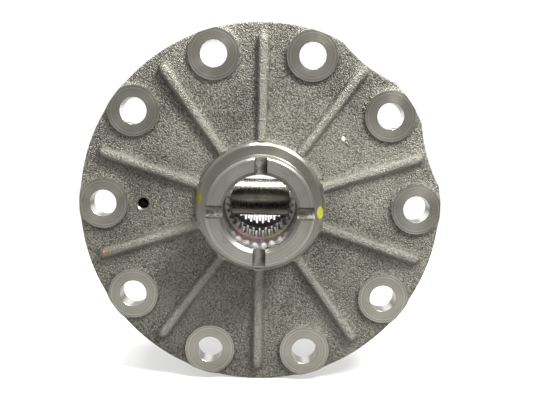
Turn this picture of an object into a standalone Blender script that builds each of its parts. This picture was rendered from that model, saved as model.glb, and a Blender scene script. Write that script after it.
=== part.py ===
"""Open differential with a one-piece cast case: two side gears, two pinions, their cross shaft and washers.

The axle axis is Y, the cross shaft lies along X, and the two cross at the origin. The ring-gear flange is on
the -Y side. Every gear's pitch cone has its apex at the origin.
"""

from math import acos, asin, atan2, cos, pi, radians, sin, sqrt, tan

import bmesh
import bpy
from mathutils import Matrix, Vector

MM = 0.001

# Flange, seen from the -Y side, where its bosses stand
FLANGE_RADIUS = 89.0 * MM
FLANGE_BLANK_RADIUS = 93.0 * MM
BOSS_FACE_Y = -39.6 * MM
PLATE_Y = -37.6 * MM
PLATE_AT_HUB_Y = -38.8 * MM
GEAR_FACE_Y = -29.6 * MM
BOLT_COUNT = 10
BOLT_CIRCLE_RADIUS = 77.25 * MM
BOLT_HOLE_RADIUS = 6.55 * MM
BOSS_RADIUS = 12.3 * MM
BOSS_SLOPE = 0.8
RIM_EDGE = 1.2 * MM
SCALLOP_ANGLES = (radians(18), radians(54))
SCALLOP_RADIUS = 74.0 * MM
SCALLOP_DEPTH = 3.1 * MM

# Ribs, midway between the bosses
RIB_OUTER_END = 83.0 * MM
RIB_INNER_END = 27.0 * MM
RIB_CREST_Y = -41.2 * MM
RIB_BASE_WIDTH = 8.0 * MM
RIB_CREST_WIDTH = 4.2 * MM
RIB_ROUNDING = 1.3 * MM

# Bearing journals and shoulders, the same at both ends
JOURNAL_RADIUS = 25.4 * MM
JOURNAL_END = 63.3 * MM
JOURNAL_CHAMFER = 0.8 * MM
SHOULDER_Y = 42.6 * MM
SHOULDER_RADIUS = 31.4 * MM
SHOULDER_CHAMFER = 1.25 * MM
OIL_SLOT_RADIUS = 3.0 * MM

# Body of the case
REGISTER_RADIUS = 63.5 * MM
REGISTER_END_Y = -20.0 * MM
BODY_RADIUS = 59.5 * MM
BODY_CURVE_START_Y = -6.0 * MM
BODY_CURVE_LENGTH = 65.0 * MM
BODY_CURVE_END_Y = 38.0 * MM
END_WALL_Y = 40.6 * MM
END_WALL_RADIUS = 38.0 * MM
WINDOW_HALF_WIDTH = 40.0 * MM
WINDOW_Y = (-18.0 * MM, 26.0 * MM)
WINDOW_CORNER = 9.0 * MM
SHAFT_BOSS_START = 43.7 * MM
SHAFT_BOSS_END = 65.5 * MM
SHAFT_BOSS_RADII = (22.0 * MM, 19.0 * MM)

# Inside of the case
BORE_RADIUS = 17.4 * MM
BORE_CHAMFER = 1.7 * MM
COUNTERBORE_RADIUS = 21.2 * MM
COUNTERBORE_END = 45.6 * MM
SIDE_SEAT_Y = 33.4 * MM
CAVITY_RADIUS = 48.6 * MM
PINION_SEAT_SPHERE = 50.0 * MM
PINION_SEAT_RADIUS = 20.6 * MM

# Cross shaft and its lock pin
SHAFT_RADIUS = 10.0 * MM
SHAFT_HALF_LENGTH = 65.0 * MM
SHAFT_CHAMFER = 1.0 * MM
LOCK_PIN_X = -57.9 * MM
LOCK_PIN_RADIUS = 2.5 * MM
LOCK_PIN_HALF_LENGTH = 18.0 * MM
LOCK_PIN_CHAMFER = 0.5 * MM
LOCK_HOLE_END_Y = 24.0 * MM

# Bevel gears
SIDE_TEETH = 16
PINION_TEETH = 10
CONE_DISTANCE = 44.0 * MM
FACE_WIDTH = 15.0 * MM
PRESSURE_ANGLE = radians(22.5)
WORKING_ADDENDUM = 0.9
ADDENDUM_SHIFT = 0.3
ROOT_CLEARANCE = 0.2
TOOTH_THINNING = 0.22 * MM
FLANK_POINTS = 3
SIDE_BACK = 32.0 * MM
SIDE_NOSE = 12.5 * MM
SIDE_NOSE_RADIUS = 19.5 * MM
SIDE_HUB_RADIUS = 21.0 * MM
SIDE_HUB_END = 45.3 * MM
SIDE_HUB_CHAMFER = 0.8 * MM
SIDE_HUB_ROOT = 25.0 * MM
SIDE_NOSE_TAPER = (22.5 * MM, 20.0 * MM)
PINION_BACK_SPHERE = 48.5 * MM
PINION_HUB_RADIUS = 19.0 * MM
PINION_NOSE = 23.5 * MM
PINION_NOSE_RADIUS = 12.6 * MM
PINION_RIM_BACK = 41.5 * MM
PINION_HUB_ROOT = 39.0 * MM
PINION_NOSE_TAPER = (13.0 * MM, 27.5 * MM)

# Internal axle spline, which starts at the bottom of a plain pilot bore in the hub
PILOT_RADIUS = 17.6 * MM
PILOT_END_Y = 34.0 * MM
SPLINE_TEETH = 30
SPLINE_MAJOR_RADIUS = 16.75 * MM
SPLINE_MINOR_RADIUS = 15.35 * MM
SPLINE_MAJOR_HALF_ANGLE = radians(1.9)
SPLINE_MINOR_HALF_ANGLE = radians(4.3)

# Thrust washers
WASHER_THICKNESS = 0.9 * MM
SIDE_WASHER_RADII = (21.6 * MM, 31.5 * MM)
PINION_WASHER_RADII = (10.6 * MM, 18.6 * MM)

# Gaps between neighbours
RUNNING_GAP = 0.15 * MM
SLIP_GAP = 0.15 * MM
SEAT_GAP = 0.25 * MM

# Facets round a full turn
CASE_STEPS = 40
HUB_STEPS = 32
SHAFT_STEPS = 24
BOLT_STEPS = 16
HOLE_STEPS = 12
SCALLOP_STEPS = 90
SPHERE_ARC = radians(9)
SHARP_ANGLE = radians(30)
OVERRUN = 3.0 * MM
MERGE = 0.00001

# Turned shapes are drawn about local Z, which these turn to the world axis named
TO_PLUS_Y = Matrix.Rotation(radians(-90), 4, "X")
TO_MINUS_Y = Matrix.Rotation(radians(90), 4, "X")
TO_PLUS_X = Matrix.Rotation(radians(90), 4, "Y")
TO_MINUS_X = Matrix.Rotation(radians(-90), 4, "Y")


def clear_scene():
    for obj in list(bpy.data.objects):
        bpy.data.objects.remove(obj, do_unlink=True)


def new_collection(name):
    collection = bpy.data.collections.new(name)
    bpy.context.scene.collection.children.link(collection)
    return collection


def new_material(name, colour, roughness, metallic=1.0):
    material = bpy.data.materials.new(name)
    material.use_nodes = True
    shader = material.node_tree.nodes["Principled BSDF"]
    shader.inputs["Base Color"].default_value = (*colour, 1.0)
    shader.inputs["Roughness"].default_value = roughness
    shader.inputs["Metallic"].default_value = metallic
    return material


def add_object(name, mesh, collection, matrix=None):
    obj = bpy.data.objects.new(name, mesh)
    collection.objects.link(obj)
    if matrix is not None:
        obj.matrix_world = matrix
    return obj


def as_cutter(obj):
    obj.hide_render = True
    obj.display_type = "WIRE"
    return obj


def mesh_from(name, builder):
    """A mesh filled by builder, a function that adds bodies to a bmesh."""
    work = bmesh.new()
    builder(work)
    mesh = bpy.data.meshes.new(name)
    bmesh.ops.recalc_face_normals(work, faces=work.faces)
    work.to_mesh(mesh)
    work.free()
    mesh.shade_smooth()
    mesh.set_sharp_from_angle(angle=SHARP_ANGLE)
    return mesh


def turned(name, profile, collection, matrix, steps, closed=False):
    """A profile of (radius, height) points, top to bottom down its outer side, turned about local Z."""
    mesh = bpy.data.meshes.new(name)
    edges = [(i, i + 1) for i in range(len(profile) - 1)]
    if closed:
        edges.append((len(profile) - 1, 0))
    mesh.from_pydata([(radius, 0.0, height) for radius, height in profile], edges, [])
    obj = add_object(name, mesh, collection, matrix)
    screw = obj.modifiers.new("turn", "SCREW")
    screw.axis = "Z"
    screw.angle = 2 * pi
    screw.steps = screw.render_steps = steps
    screw.use_merge_vertices = True
    screw.merge_threshold = MERGE
    screw.use_smooth_shade = True
    return obj


def combine(obj, other, operation):
    boolean = obj.modifiers.new(f"{operation.lower()} {other.name}", "BOOLEAN")
    boolean.object = other
    boolean.operation = operation
    boolean.solver = "EXACT"


def add_cylinder(work, radius, start, end, steps, end_radius=None, turn=0.0):
    """A cylinder or cone between two points, turned about its own axis, added to a bmesh."""
    along = end - start
    place = Matrix.Translation((start + end) / 2) @ along.to_track_quat("Z", "Y").to_matrix().to_4x4()
    place = place @ Matrix.Rotation(turn, 4, "Z")
    bmesh.ops.create_cone(
        work,
        cap_ends=True,
        segments=steps,
        radius1=radius,
        radius2=radius if end_radius is None else end_radius,
        depth=along.length,
        matrix=place,
    )


def around_axle(angle, radius, height):
    """The point at an angle from +X towards +Z, at a radius from the axle axis and a height along Y."""
    return Vector((radius * cos(angle), height, radius * sin(angle)))


def boss_angles():
    return [i * 2 * pi / BOLT_COUNT for i in range(BOLT_COUNT)]


def rib_angles():
    return [angle + pi / BOLT_COUNT for angle in boss_angles()]


def arc_points(sphere_radius, first_radius, last_radius):
    """(radius, height) points on a sphere about the origin, from one distance off the axis to another."""
    first, last = asin(first_radius / sphere_radius), asin(last_radius / sphere_radius)
    count = max(1, round(abs(last - first) / SPHERE_ARC))
    angles = [first + (last - first) * i / count for i in range(count + 1)]
    return [(sphere_radius * sin(angle), sphere_radius * cos(angle)) for angle in angles]


def shoulder_profile():
    """Bearing journal and shoulder at the +Y end, from the axis outwards and down."""
    return [
        (0.0, JOURNAL_END),
        (JOURNAL_RADIUS - JOURNAL_CHAMFER, JOURNAL_END),
        (JOURNAL_RADIUS, JOURNAL_END - JOURNAL_CHAMFER),
        (JOURNAL_RADIUS, SHOULDER_Y),
        (SHOULDER_RADIUS - SHOULDER_CHAMFER, SHOULDER_Y),
        (SHOULDER_RADIUS, SHOULDER_Y - SHOULDER_CHAMFER),
    ]


def body_radius_at(y):
    """Outer radius of the case's rounded end, an ellipse that starts level with the barrel."""
    return BODY_RADIUS * sqrt(1 - ((y - BODY_CURVE_START_Y) / BODY_CURVE_LENGTH) ** 2)


def case_profile():
    curve_points = 4
    curve_step = (BODY_CURVE_END_Y - BODY_CURVE_START_Y) / curve_points
    curve = [BODY_CURVE_END_Y - i * curve_step for i in range(curve_points + 1)]
    far_end = shoulder_profile()
    near_end = [(radius, -height) for radius, height in reversed(shoulder_profile())]
    return (
        far_end
        + [(SHOULDER_RADIUS, END_WALL_Y), (END_WALL_RADIUS, END_WALL_Y)]
        + [(body_radius_at(y), y) for y in curve]
        + [
            (BODY_RADIUS, REGISTER_END_Y),
            (REGISTER_RADIUS, REGISTER_END_Y),
            (REGISTER_RADIUS, GEAR_FACE_Y),
            (FLANGE_BLANK_RADIUS, GEAR_FACE_Y),
            (FLANGE_BLANK_RADIUS, PLATE_Y),
            (SHOULDER_RADIUS, PLATE_AT_HUB_Y),
        ]
        + near_end
    )


def cavity_profile():
    """The bored mouths, side-gear counterbores and seats, and the round cavity between them."""
    mouth_y = JOURNAL_END + OVERRUN
    seat_radius = sqrt(CAVITY_RADIUS**2 - SIDE_SEAT_Y**2)
    half = [
        (0.0, mouth_y),
        (BORE_RADIUS + BORE_CHAMFER + OVERRUN, mouth_y),
        (BORE_RADIUS, JOURNAL_END - BORE_CHAMFER),
        (BORE_RADIUS, COUNTERBORE_END),
        (COUNTERBORE_RADIUS, COUNTERBORE_END),
        (COUNTERBORE_RADIUS, SIDE_SEAT_Y),
    ]
    half += arc_points(CAVITY_RADIUS, seat_radius, CAVITY_RADIUS)
    return half + [(radius, -height) for radius, height in reversed(half[:-1])]


def rim_turning_profile():
    """The ring of metal turned off the flange's edge, which leaves its two corners chamfered."""
    top, bottom = GEAR_FACE_Y, PLATE_Y
    inner = FLANGE_RADIUS - RIM_EDGE
    outer = FLANGE_BLANK_RADIUS + OVERRUN
    return [
        (outer, top + OVERRUN),
        (outer, BOSS_FACE_Y - OVERRUN),
        (FLANGE_RADIUS, BOSS_FACE_Y - OVERRUN),
        (FLANGE_RADIUS, top - RIM_EDGE),
        (inner, top),
        (inner, top + OVERRUN),
    ]


def add_bosses(work):
    """Round bosses with sloping walls, rooted inside the flange."""
    for angle in boss_angles():
        start = around_axle(angle, BOLT_CIRCLE_RADIUS, GEAR_FACE_Y - OVERRUN)
        end = around_axle(angle, BOLT_CIRCLE_RADIUS, BOSS_FACE_Y)
        root_radius = BOSS_RADIUS + BOSS_SLOPE * (start.y - end.y)
        add_cylinder(work, root_radius, start, end, BOLT_STEPS, BOSS_RADIUS)


def add_rib(work, angle):
    """A rib with sloping flanks and a rounded crest and outer end, along the radius at this angle."""
    root_y = GEAR_FACE_Y - OVERRUN
    length = RIB_OUTER_END - RIB_INNER_END
    slope = (RIB_BASE_WIDTH - RIB_CREST_WIDTH) / 2 / (PLATE_Y - RIB_CREST_Y)
    spread = slope * (root_y - RIB_CREST_Y)
    made = bmesh.ops.create_cube(work, size=1.0)["verts"]
    for vert in made:
        crest = vert.co.y < 0
        outer = vert.co.x > 0
        half_width = RIB_CREST_WIDTH / 2 + (0.0 if crest else spread)
        vert.co.x = length / 2 if outer else -length / 2
        if outer and not crest:
            vert.co.x += spread
        vert.co.z = half_width if vert.co.z > 0 else -half_width
        vert.co.y = RIB_CREST_Y if crest else root_y
    edges = [
        edge
        for edge in {edge for vert in made for edge in vert.link_edges}
        if all(vert.co.y == RIB_CREST_Y for vert in edge.verts) or all(vert.co.x > 0 for vert in edge.verts)
        if not all(vert.co.y == root_y for vert in edge.verts)
    ]
    before = set(work.verts) - set(made)
    bmesh.ops.bevel(
        work,
        geom=edges,
        offset=RIB_ROUNDING,
        offset_type="OFFSET",
        segments=2,
        profile=0.5,
        affect="EDGES",
    )
    rib = [vert for vert in work.verts if vert not in before]
    middle = Matrix.Translation(((RIB_OUTER_END + RIB_INNER_END) / 2, 0, 0))
    bmesh.ops.transform(work, matrix=Matrix.Rotation(-angle, 4, "Y") @ middle, verts=rib)


def add_ribs(work):
    for angle in rib_angles():
        add_rib(work, angle)


def add_shaft_bosses(work):
    inner_radius, end_radius = SHAFT_BOSS_RADII
    for side in (-1, 1):
        start = Vector((side * SHAFT_BOSS_START, 0, 0))
        end = Vector((side * SHAFT_BOSS_END, 0, 0))
        add_cylinder(work, inner_radius, start, end, HUB_STEPS, end_radius)


def add_drilled_holes(work):
    """The bolt holes and the lock-pin hole, all along Y."""
    for angle in boss_angles():
        start = around_axle(angle, BOLT_CIRCLE_RADIUS, BOSS_FACE_Y - OVERRUN)
        end = around_axle(angle, BOLT_CIRCLE_RADIUS, GEAR_FACE_Y + OVERRUN)
        add_cylinder(work, BOLT_HOLE_RADIUS, start, end, BOLT_STEPS)
    start = Vector((LOCK_PIN_X, RIB_CREST_Y - OVERRUN, 0))
    end = Vector((LOCK_PIN_X, LOCK_HOLE_END_Y, 0))
    add_cylinder(work, LOCK_PIN_RADIUS + SLIP_GAP, start, end, HOLE_STEPS)


def add_oil_slots(work):
    """Four grooves across each journal's end face, each with a flat facet along its bottom."""
    for end in (-JOURNAL_END, JOURNAL_END):
        for quarter in range(4):
            angle = quarter * pi / 2
            start = around_axle(angle, BORE_RADIUS - OVERRUN, end)
            stop = around_axle(angle, JOURNAL_RADIUS + OVERRUN, end)
            add_cylinder(work, OIL_SLOT_RADIUS, start, stop, HOLE_STEPS, turn=pi / HOLE_STEPS)


def add_shaft_bore(work):
    reach = Vector((SHAFT_BOSS_END + OVERRUN, 0, 0))
    add_cylinder(work, SHAFT_RADIUS + SLIP_GAP, -reach, reach, SHAFT_STEPS)


def add_window(work):
    """One rounded block that passes right through, along Z, and opens both windows."""
    low, high = WINDOW_Y
    height = 2 * (BODY_RADIUS + OVERRUN)
    made = bmesh.ops.create_cube(work, size=1.0)["verts"]
    for vert in made:
        vert.co.x *= 2 * WINDOW_HALF_WIDTH
        vert.co.y = high if vert.co.y > 0 else low
        vert.co.z *= height
    edges = [edge for edge in work.edges if abs(edge.verts[0].co.z - edge.verts[1].co.z) > BODY_RADIUS]
    bmesh.ops.bevel(
        work, geom=edges, offset=WINDOW_CORNER, offset_type="OFFSET", segments=2, profile=0.5, affect="EDGES"
    )


def scallop_cutter(index, angle, cutters):
    distance = FLANGE_RADIUS - SCALLOP_DEPTH + SCALLOP_RADIUS

    def add(work):
        start = around_axle(angle, distance, BOSS_FACE_Y - OVERRUN)
        end = around_axle(angle, distance, GEAR_FACE_Y + OVERRUN)
        add_cylinder(work, SCALLOP_RADIUS, start, end, SCALLOP_STEPS)

    name = f"scallop_cut_{index}"
    return as_cutter(add_object(name, mesh_from(name, add), cutters))


def pinion_seat_cutter(name, matrix, cutters):
    """A plug with a domed end, whose flat end lies well inside the cavity."""
    profile = arc_points(PINION_SEAT_SPHERE, 0.0, PINION_SEAT_RADIUS)
    inside = PINION_BACK_SPHERE - 4 * OVERRUN
    profile += [(PINION_SEAT_RADIUS, inside), (0.0, inside)]
    return as_cutter(turned(name, profile, cutters, matrix, HUB_STEPS))


def make_case(parts, cutters):
    case = turned("differential_case", case_profile(), parts, TO_PLUS_Y, CASE_STEPS)
    raised = {"flange_bosses": add_bosses, "flange_ribs": add_ribs, "shaft_bosses": add_shaft_bosses}
    for name, builder in raised.items():
        combine(case, as_cutter(add_object(name, mesh_from(name, builder), cutters)), "UNION")
    rim = turned("rim_turning", rim_turning_profile(), cutters, TO_PLUS_Y, CASE_STEPS, closed=True)
    cavity = turned("case_cavity", cavity_profile(), cutters, TO_PLUS_Y, CASE_STEPS)
    combine(case, as_cutter(rim), "DIFFERENCE")
    combine(case, as_cutter(cavity), "DIFFERENCE")
    cuts = {
        "window_cut": add_window,
        "shaft_bore": add_shaft_bore,
        "drilled_holes": add_drilled_holes,
        "oil_slots": add_oil_slots,
    }
    for name, builder in cuts.items():
        combine(case, as_cutter(add_object(name, mesh_from(name, builder), cutters)), "DIFFERENCE")
    for name, matrix in (("left_pinion_seat", TO_MINUS_X), ("right_pinion_seat", TO_PLUS_X)):
        combine(case, pinion_seat_cutter(name, matrix, cutters), "DIFFERENCE")
    for index, angle in enumerate(SCALLOP_ANGLES):
        combine(case, scallop_cutter(index, angle, cutters), "DIFFERENCE")
    return case


def involute(angle):
    return tan(angle) - angle


class BevelTeeth:
    """Tooth sizes of one bevel gear of a pair whose axes cross at a right angle at the apex.

    Tooth shapes are involutes on the back cone, where a distance rho from the back cone's own apex stands for
    a radius of the equivalent spur gear.
    """

    def __init__(self, teeth, mating_teeth, shift):
        self.teeth = teeth
        self.cone = atan2(teeth, mating_teeth)
        self.module = 2 * CONE_DISTANCE * sin(self.cone) / teeth
        self.pitch_rho = CONE_DISTANCE * tan(self.cone)
        self.base_rho = self.pitch_rho * cos(PRESSURE_ANGLE)
        self.tip_rho = self.pitch_rho + (WORKING_ADDENDUM + shift) * self.module
        self.root_rho = self.pitch_rho - (WORKING_ADDENDUM - shift + ROOT_CLEARANCE) * self.module
        thickness = (pi / 2 + 2 * shift * tan(PRESSURE_ANGLE)) * self.module - TOOTH_THINNING
        self.half_angle = thickness / (2 * self.pitch_rho) + involute(PRESSURE_ANGLE)

    def flank_angle(self, rho):
        """Half the tooth's angle about the gear's axis at this distance up the back cone."""
        pressure = acos(min(1.0, self.base_rho / rho))
        return (self.half_angle - involute(pressure)) / cos(self.cone)

    def point(self, rho, angle, scale=1.0):
        """The point of the outer end's back cone at rho, or of a smaller cone nearer the apex."""
        radius = rho * cos(self.cone) * scale
        height = (CONE_DISTANCE / cos(self.cone) - rho * sin(self.cone)) * scale
        return Vector((radius * cos(angle), radius * sin(angle), height))

    def rho_at_height(self, height):
        return (CONE_DISTANCE / cos(self.cone) - height) / sin(self.cone)

    def outline(self):
        """(rho, angle) points round all the teeth, the first tooth centred on local X."""
        start = max(self.root_rho, self.base_rho)
        flank = [start + (self.tip_rho - start) * i / (FLANK_POINTS - 1) for i in range(FLANK_POINTS)]
        if self.root_rho < start:
            flank.insert(0, self.root_rho)
        rising = [(rho, -self.flank_angle(rho)) for rho in flank]
        falling = [(rho, -angle) for rho, angle in reversed(rising)]
        pitch = 2 * pi / self.teeth
        return [(rho, angle + i * pitch) for i in range(self.teeth) for rho, angle in rising + falling]


def add_toothed_rim(work, gear, back_height):
    """The toothed part of a bevel gear: the outline at both ends, closed by cones and flat ends."""
    inner_scale = (CONE_DISTANCE - FACE_WIDTH) / CONE_DISTANCE
    rim_rho = gear.rho_at_height(back_height)
    outline = gear.outline()
    rings = [
        [work.verts.new(gear.point(rim_rho, angle)) for _, angle in outline],
        [work.verts.new(gear.point(rho, angle)) for rho, angle in outline],
        [work.verts.new(gear.point(rho, angle, inner_scale)) for rho, angle in outline],
        [work.verts.new(gear.point(rim_rho, angle, inner_scale)) for _, angle in outline],
    ]
    count = len(outline)
    for upper, lower in zip(rings, rings[1:]):
        for i in range(count):
            j = (i + 1) % count
            work.faces.new((upper[i], lower[i], lower[j], upper[j]))
    work.faces.new(rings[0])
    work.faces.new(reversed(rings[-1]))


def pilot_profile():
    """The plain pilot bore from the hub's end down to the start of the spline."""
    mouth = SIDE_HUB_END + OVERRUN
    return [(0.0, mouth), (PILOT_RADIUS, mouth), (PILOT_RADIUS, PILOT_END_Y), (0.0, PILOT_END_Y)]


def add_spline_cut(work):
    """The hole of an internal spline: a prism whose sides step between the two radii."""
    low, high = SIDE_NOSE - OVERRUN, SIDE_HUB_END + OVERRUN
    pitch = 2 * pi / SPLINE_TEETH
    corners = (
        (SPLINE_MINOR_RADIUS, -SPLINE_MINOR_HALF_ANGLE),
        (SPLINE_MAJOR_RADIUS, -SPLINE_MAJOR_HALF_ANGLE),
        (SPLINE_MAJOR_RADIUS, SPLINE_MAJOR_HALF_ANGLE),
        (SPLINE_MINOR_RADIUS, SPLINE_MINOR_HALF_ANGLE),
    )
    points = [(radius, angle + i * pitch) for i in range(SPLINE_TEETH) for radius, angle in corners]
    outline = [work.verts.new((radius * cos(angle), radius * sin(angle), low)) for radius, angle in points]
    face = work.faces.new(outline)
    raised = bmesh.ops.extrude_face_region(work, geom=[face])["geom"]
    verts = [item for item in raised if isinstance(item, bmesh.types.BMVert)]
    bmesh.ops.translate(work, vec=(0, 0, high - low), verts=verts)


def side_hub_profile():
    """Nose and hub of a side gear, which the toothed rim surrounds."""
    return [
        (0.0, SIDE_HUB_END),
        (SIDE_HUB_RADIUS - SIDE_HUB_CHAMFER, SIDE_HUB_END),
        (SIDE_HUB_RADIUS, SIDE_HUB_END - SIDE_HUB_CHAMFER),
        (SIDE_HUB_RADIUS, SIDE_HUB_ROOT),
        SIDE_NOSE_TAPER,
        (SIDE_NOSE_RADIUS, SIDE_NOSE),
        (0.0, SIDE_NOSE),
    ]


def pinion_hub_profile():
    """Spherical back, hub and nose of a pinion, which the toothed rim surrounds."""
    back = arc_points(PINION_BACK_SPHERE, 0.0, PINION_HUB_RADIUS)
    return back + [
        (PINION_HUB_RADIUS, PINION_HUB_ROOT),
        PINION_NOSE_TAPER,
        (PINION_NOSE_RADIUS, PINION_NOSE),
        (0.0, PINION_NOSE),
    ]


def make_side_gear(name, matrix, parts, cutters):
    teeth = BevelTeeth(SIDE_TEETH, PINION_TEETH, -ADDENDUM_SHIFT)
    rim = mesh_from(name, lambda work: add_toothed_rim(work, teeth, SIDE_BACK))
    gear = add_object(name, rim, parts, matrix)
    hub = turned(f"{name}_hub", side_hub_profile(), cutters, matrix, HUB_STEPS)
    spline = add_object(f"{name}_spline", mesh_from(f"{name}_spline", add_spline_cut), cutters, matrix)
    pilot = turned(f"{name}_pilot", pilot_profile(), cutters, matrix, HUB_STEPS)
    combine(gear, as_cutter(hub), "UNION")
    combine(gear, as_cutter(spline), "DIFFERENCE")
    combine(gear, as_cutter(pilot), "DIFFERENCE")
    return gear


def make_pinion(name, matrix, parts, cutters):
    teeth = BevelTeeth(PINION_TEETH, SIDE_TEETH, ADDENDUM_SHIFT)
    rim = mesh_from(name, lambda work: add_toothed_rim(work, teeth, PINION_RIM_BACK))
    gear = add_object(name, rim, parts, matrix)
    hub = turned(f"{name}_hub", pinion_hub_profile(), cutters, matrix, HUB_STEPS)
    high, low = PINION_BACK_SPHERE + OVERRUN, PINION_NOSE - OVERRUN
    radius = SHAFT_RADIUS + RUNNING_GAP
    profile = [(0.0, high), (radius, high), (radius, low), (0.0, low)]
    bore = turned(f"{name}_bore", profile, cutters, matrix, SHAFT_STEPS)
    combine(gear, as_cutter(hub), "UNION")
    combine(gear, as_cutter(bore), "DIFFERENCE")
    return gear


def make_cross_shaft(parts, cutters):
    end, edge = SHAFT_HALF_LENGTH, SHAFT_HALF_LENGTH - SHAFT_CHAMFER
    tip = SHAFT_RADIUS - SHAFT_CHAMFER
    profile = [(0.0, end), (tip, end), (SHAFT_RADIUS, edge), (SHAFT_RADIUS, -edge), (tip, -end), (0.0, -end)]
    shaft = turned("cross_shaft", profile, parts, TO_PLUS_X, SHAFT_STEPS)

    def add_hole(work):
        reach = Vector((0, SHAFT_RADIUS + OVERRUN, 0))
        place = Vector((LOCK_PIN_X, 0, 0))
        add_cylinder(work, LOCK_PIN_RADIUS + SLIP_GAP, place - reach, place + reach, HOLE_STEPS)

    hole = add_object("shaft_pin_hole", mesh_from("shaft_pin_hole", add_hole), cutters)
    combine(shaft, as_cutter(hole), "DIFFERENCE")
    return shaft


def make_lock_pin(parts):
    end, edge = LOCK_PIN_HALF_LENGTH, LOCK_PIN_HALF_LENGTH - LOCK_PIN_CHAMFER
    tip = LOCK_PIN_RADIUS - LOCK_PIN_CHAMFER
    profile = [(0.0, end), (tip, end), (LOCK_PIN_RADIUS, edge)]
    profile += [(radius, -height) for radius, height in reversed(profile)]
    place = Matrix.Translation((LOCK_PIN_X, 0, 0)) @ TO_PLUS_Y
    return turned("cross_shaft_lock_pin", profile, parts, place, HOLE_STEPS)


def make_side_washer(name, matrix, parts):
    inner, outer = SIDE_WASHER_RADII
    top = SIDE_SEAT_Y - SEAT_GAP
    bottom = top - WASHER_THICKNESS
    profile = [(inner, top), (outer, top), (outer, bottom), (inner, bottom)]
    return turned(name, profile, parts, matrix, HUB_STEPS, closed=True)


def make_pinion_washer(name, matrix, parts):
    inner, outer = PINION_WASHER_RADII
    top = PINION_SEAT_SPHERE - SEAT_GAP
    crown = arc_points(top, inner, outer)
    underside = arc_points(top - WASHER_THICKNESS, outer, inner)
    return turned(name, crown + underside, parts, matrix, HUB_STEPS, closed=True)


def paint(obj, material):
    obj.data.materials.append(material)


def build():
    clear_scene()
    parts = new_collection("differential_gear_assembly")
    cutters = new_collection("cutters")
    cast_iron = (0.115, 0.110, 0.100)
    gear_steel = (0.22, 0.215, 0.205)
    shaft_steel = (0.12, 0.115, 0.11)
    washer_steel = (0.30, 0.29, 0.27)
    paint(make_case(parts, cutters), new_material("case_iron", cast_iron, 0.55, 0.6))
    for name, matrix in (("flange_side_gear", TO_MINUS_Y), ("far_side_gear", TO_PLUS_Y)):
        paint(make_side_gear(name, matrix, parts, cutters), new_material(f"{name}_steel", gear_steel, 0.35))
    for name, matrix in (("left_pinion_gear", TO_MINUS_X), ("right_pinion_gear", TO_PLUS_X)):
        paint(make_pinion(name, matrix, parts, cutters), new_material(f"{name}_steel", gear_steel, 0.35))
    paint(make_cross_shaft(parts, cutters), new_material("cross_shaft_steel", shaft_steel, 0.2))
    paint(make_lock_pin(parts), new_material("lock_pin_steel", shaft_steel, 0.4))
    for name, matrix in (("flange_side_thrust_washer", TO_MINUS_Y), ("far_side_thrust_washer", TO_PLUS_Y)):
        paint(make_side_washer(name, matrix, parts), new_material(f"{name}_steel", washer_steel, 0.4))
    for side, matrix in (("left", TO_MINUS_X), ("right", TO_PLUS_X)):
        name = f"{side}_pinion_thrust_washer"
        paint(make_pinion_washer(name, matrix, parts), new_material(f"{name}_steel", washer_steel, 0.4))


build()
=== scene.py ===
"""The looks of an open differential in a cast iron case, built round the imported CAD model.

The axle axis is Y, the cross shaft lies along X, and the ring-gear flange faces -Y. Every gear's pitch
cone has its apex at the origin. The case is made the way the real one is: a rough casting is formed first,
with its rounded edges and sand grain, and the machined faces are then cut into it.
"""

from math import acos, asin, atan2, cos, pi, radians, sin, sqrt, tan

import bmesh
import bpy
import numpy as np
from mathutils import Matrix, Vector, noise


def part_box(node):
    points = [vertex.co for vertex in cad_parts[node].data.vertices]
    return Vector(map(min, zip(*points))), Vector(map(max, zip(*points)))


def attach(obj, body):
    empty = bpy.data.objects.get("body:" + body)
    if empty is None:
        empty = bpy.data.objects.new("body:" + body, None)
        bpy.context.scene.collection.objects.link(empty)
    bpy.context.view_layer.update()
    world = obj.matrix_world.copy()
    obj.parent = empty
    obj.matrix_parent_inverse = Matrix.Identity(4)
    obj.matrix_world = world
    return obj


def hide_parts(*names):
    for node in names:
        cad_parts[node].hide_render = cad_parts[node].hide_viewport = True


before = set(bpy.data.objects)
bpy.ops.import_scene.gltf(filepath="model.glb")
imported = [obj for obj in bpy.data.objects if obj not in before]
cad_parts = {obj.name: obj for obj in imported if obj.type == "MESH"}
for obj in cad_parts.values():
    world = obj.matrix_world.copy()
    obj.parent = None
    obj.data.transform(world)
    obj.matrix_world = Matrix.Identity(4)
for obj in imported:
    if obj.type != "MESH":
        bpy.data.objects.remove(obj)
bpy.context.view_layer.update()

MM = 0.001


def half_extent(node, axis):
    """Half of a CAD node's size along one axis."""
    low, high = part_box(node)
    return (high[axis] - low[axis]) / 2


# Driving sizes that the frame gives
FLANGE_RADIUS = half_extent("differential_case", 0)
JOURNAL_END = half_extent("differential_case", 1)
SHAFT_HALF_LENGTH = half_extent("cross_shaft", 0)
SHAFT_RADIUS = half_extent("cross_shaft", 2)
LOCK_PIN_X = (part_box("cross_shaft_lock_pin")[0].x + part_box("cross_shaft_lock_pin")[1].x) / 2
LOCK_PIN_RADIUS = half_extent("cross_shaft_lock_pin", 0)
LOCK_PIN_HALF_LENGTH = half_extent("cross_shaft_lock_pin", 1)
SIDE_HUB_END = -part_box("flange_side_gear")[0].y
SIDE_NOSE = -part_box("flange_side_gear")[1].y

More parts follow.
